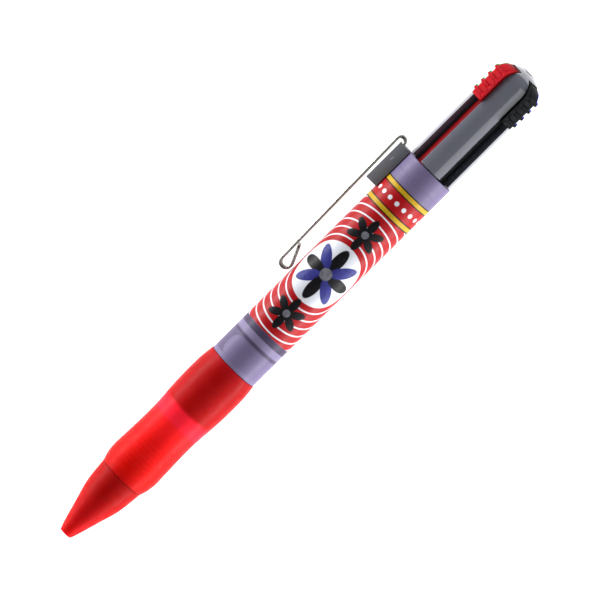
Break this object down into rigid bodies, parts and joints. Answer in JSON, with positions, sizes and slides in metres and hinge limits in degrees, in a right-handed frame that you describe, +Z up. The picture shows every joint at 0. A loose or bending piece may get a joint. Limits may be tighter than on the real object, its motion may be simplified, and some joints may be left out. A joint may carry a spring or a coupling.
{
  "type": "multicolor click pen",
  "caption": "Retractable pen with sliding colour buttons in a slotted domed upper barrel, printed sleeve, translucent bulged grip, conical nose and bent-wire pocket clip.",
  "frame": {"origin": "centre of the object's box in X and Y, at the surface that the pen lies on", "axes": "+X along the pen from the writing end to the domed end; +Y towards the wire pocket clip; +Z up, away from the surface that the pen lies on"},
  "size_m": [0.146, 0.0174, 0.0136],
  "materials": {
    "nose_cone": "frosted translucent red",
    "grip_sleeve": "translucent red, satin",
    "guide_ring": "plain moulded",
    "main_barrel": "satin purple grey",
    "printed_wrap": "printed film with an abstract pattern",
    "upper_barrel": "polished dark grey",
    "end_plug": "polished dark grey",
    "guide_core": "plain moulded",
    "spring_seat": "plain moulded",
    "clip_block": "satin dark grey",
    "wire_clip": "bright drawn wire",
    "spring_metal": "drawn spring wire",
    "refill_tip_metal": "turned, nickel-tinted",
    "writing_ball_metal": "polished ball",
    "slider_red": "moulded red",
    "slider_black": "moulded black",
    "slider_blue": "moulded blue",
    "slider_green": "moulded green",
    "refill_tube_red": "thin tube over red ink",
    "refill_tube_black": "thin tube over black ink",
    "refill_tube_blue": "thin tube over blue ink",
    "refill_tube_green": "thin tube over green ink"
  },
  "bodies": {
    "barrel": {"main_barrel": "main_barrel", "printed_wrap": "printed_wrap", "grip_sleeve": "grip_sleeve", "guide_ring": "guide_ring", "upper_barrel": "upper_barrel", "end_plug": "end_plug", "guide_core": "guide_core", "spring_seat": "spring_seat", "clip_block": "clip_block", "spring_red": "spring_metal", "spring_black": "spring_metal", "spring_blue": "spring_metal", "spring_green": "spring_metal"},
    "nose": {"nose_cone": "nose_cone"},
    "clip": {"wire_clip": "wire_clip"},
    "slider_body_red": {"slider_red": "slider_red"},
    "refill_red": {"refill_tube_red": "refill_tube_red", "refill_tip_red": "refill_tip_metal", "writing_ball_red": "writing_ball_metal"},
    "slider_body_black": {"slider_black": "slider_black"},
    "refill_black": {"refill_tube_black": "refill_tube_black", "refill_tip_black": "refill_tip_metal", "writing_ball_black": "writing_ball_metal"},
    "slider_body_blue": {"slider_blue": "slider_blue"},
    "refill_blue": {"refill_tube_blue": "refill_tube_blue", "refill_tip_blue": "refill_tip_metal", "writing_ball_blue": "writing_ball_metal"},
    "slider_body_green": {"slider_green": "slider_green"},
    "refill_green": {"refill_tube_green": "refill_tube_green", "refill_tip_green": "refill_tip_metal", "writing_ball_green": "writing_ball_metal"}
  },
  "joints": [
    {"name": "slider_red_push", "type": "slide", "parent": "barrel", "child": "slider_body_red", "axis": [-1, 0, 0], "range_m": [0, 0.014], "stiffness_N_per_m": 60, "springref_m": -0.008, "deforming": ["spring_red", "refill_tube_red"]},
    {"name": "refill_red_lean", "type": "hinge", "parent": "slider_body_red", "child": "refill_red", "pos_m": [0.031, 0.00001, 0.00874], "axis": [0, -0.7071, 0.7071], "range_deg": [0, 0.76]},
    {"name": "slider_black_push", "type": "slide", "parent": "barrel", "child": "slider_body_black", "axis": [-1, 0, 0], "range_m": [0, 0.014], "stiffness_N_per_m": 60, "springref_m": -0.008, "deforming": ["spring_black", "refill_tube_black"]},
    {"name": "refill_black_lean", "type": "hinge", "parent": "slider_body_black", "child": "refill_black", "pos_m": [0.031, -0.00388, 0.00874], "axis": [0, -0.7071, -0.7071], "range_deg": [0, 0.76]},
    {"name": "slider_blue_push", "type": "slide", "parent": "barrel", "child": "slider_body_blue", "axis": [-1, 0, 0], "range_m": [0, 0.014], "stiffness_N_per_m": 60, "springref_m": -0.008, "deforming": ["spring_blue", "refill_tube_blue"]},
    {"name": "refill_blue_lean", "type": "hinge", "parent": "slider_body_blue", "child": "refill_blue", "pos_m": [0.031, -0.00388, 0.00486], "axis": [0, 0.7071, -0.7071], "range_deg": [0, 0.76]},
    {"name": "slider_green_push", "type": "slide", "parent": "barrel", "child": "slider_body_green", "axis": [-1, 0, 0], "range_m": [0, 0.014], "stiffness_N_per_m": 60, "springref_m": -0.008, "deforming": ["spring_green", "refill_tube_green"]},
    {"name": "refill_green_lean", "type": "hinge", "parent": "slider_body_green", "child": "refill_green", "pos_m": [0.031, 0.00001, 0.00486], "axis": [0, 0.7071, 0.7071], "range_deg": [0, 0.76]},
    {"name": "clip_flex", "type": "hinge", "parent": "barrel", "child": "clip", "pos_m": [0.0419, 0.00636, 0.0068], "axis": [0, 0, -1], "range_deg": [0, 7], "stiffness_Nm_per_rad": 0.12, "springref_deg": -2.86},
    {"name": "nose_pull_off", "type": "slide", "parent": "barrel", "child": "nose", "axis": [-1, 0, 0], "range_m": [0, 0.02]}
  ],
  "couplings": [
    {"joint": "refill_red_lean", "follows": "slider_red_push", "rad_per_m": 0.9268},
    {"joint": "refill_black_lean", "follows": "slider_black_push", "rad_per_m": 0.9268},
    {"joint": "refill_blue_lean", "follows": "slider_blue_push", "rad_per_m": 0.9268},
    {"joint": "refill_green_lean", "follows": "slider_green_push", "rad_per_m": 0.9268}
  ]
}
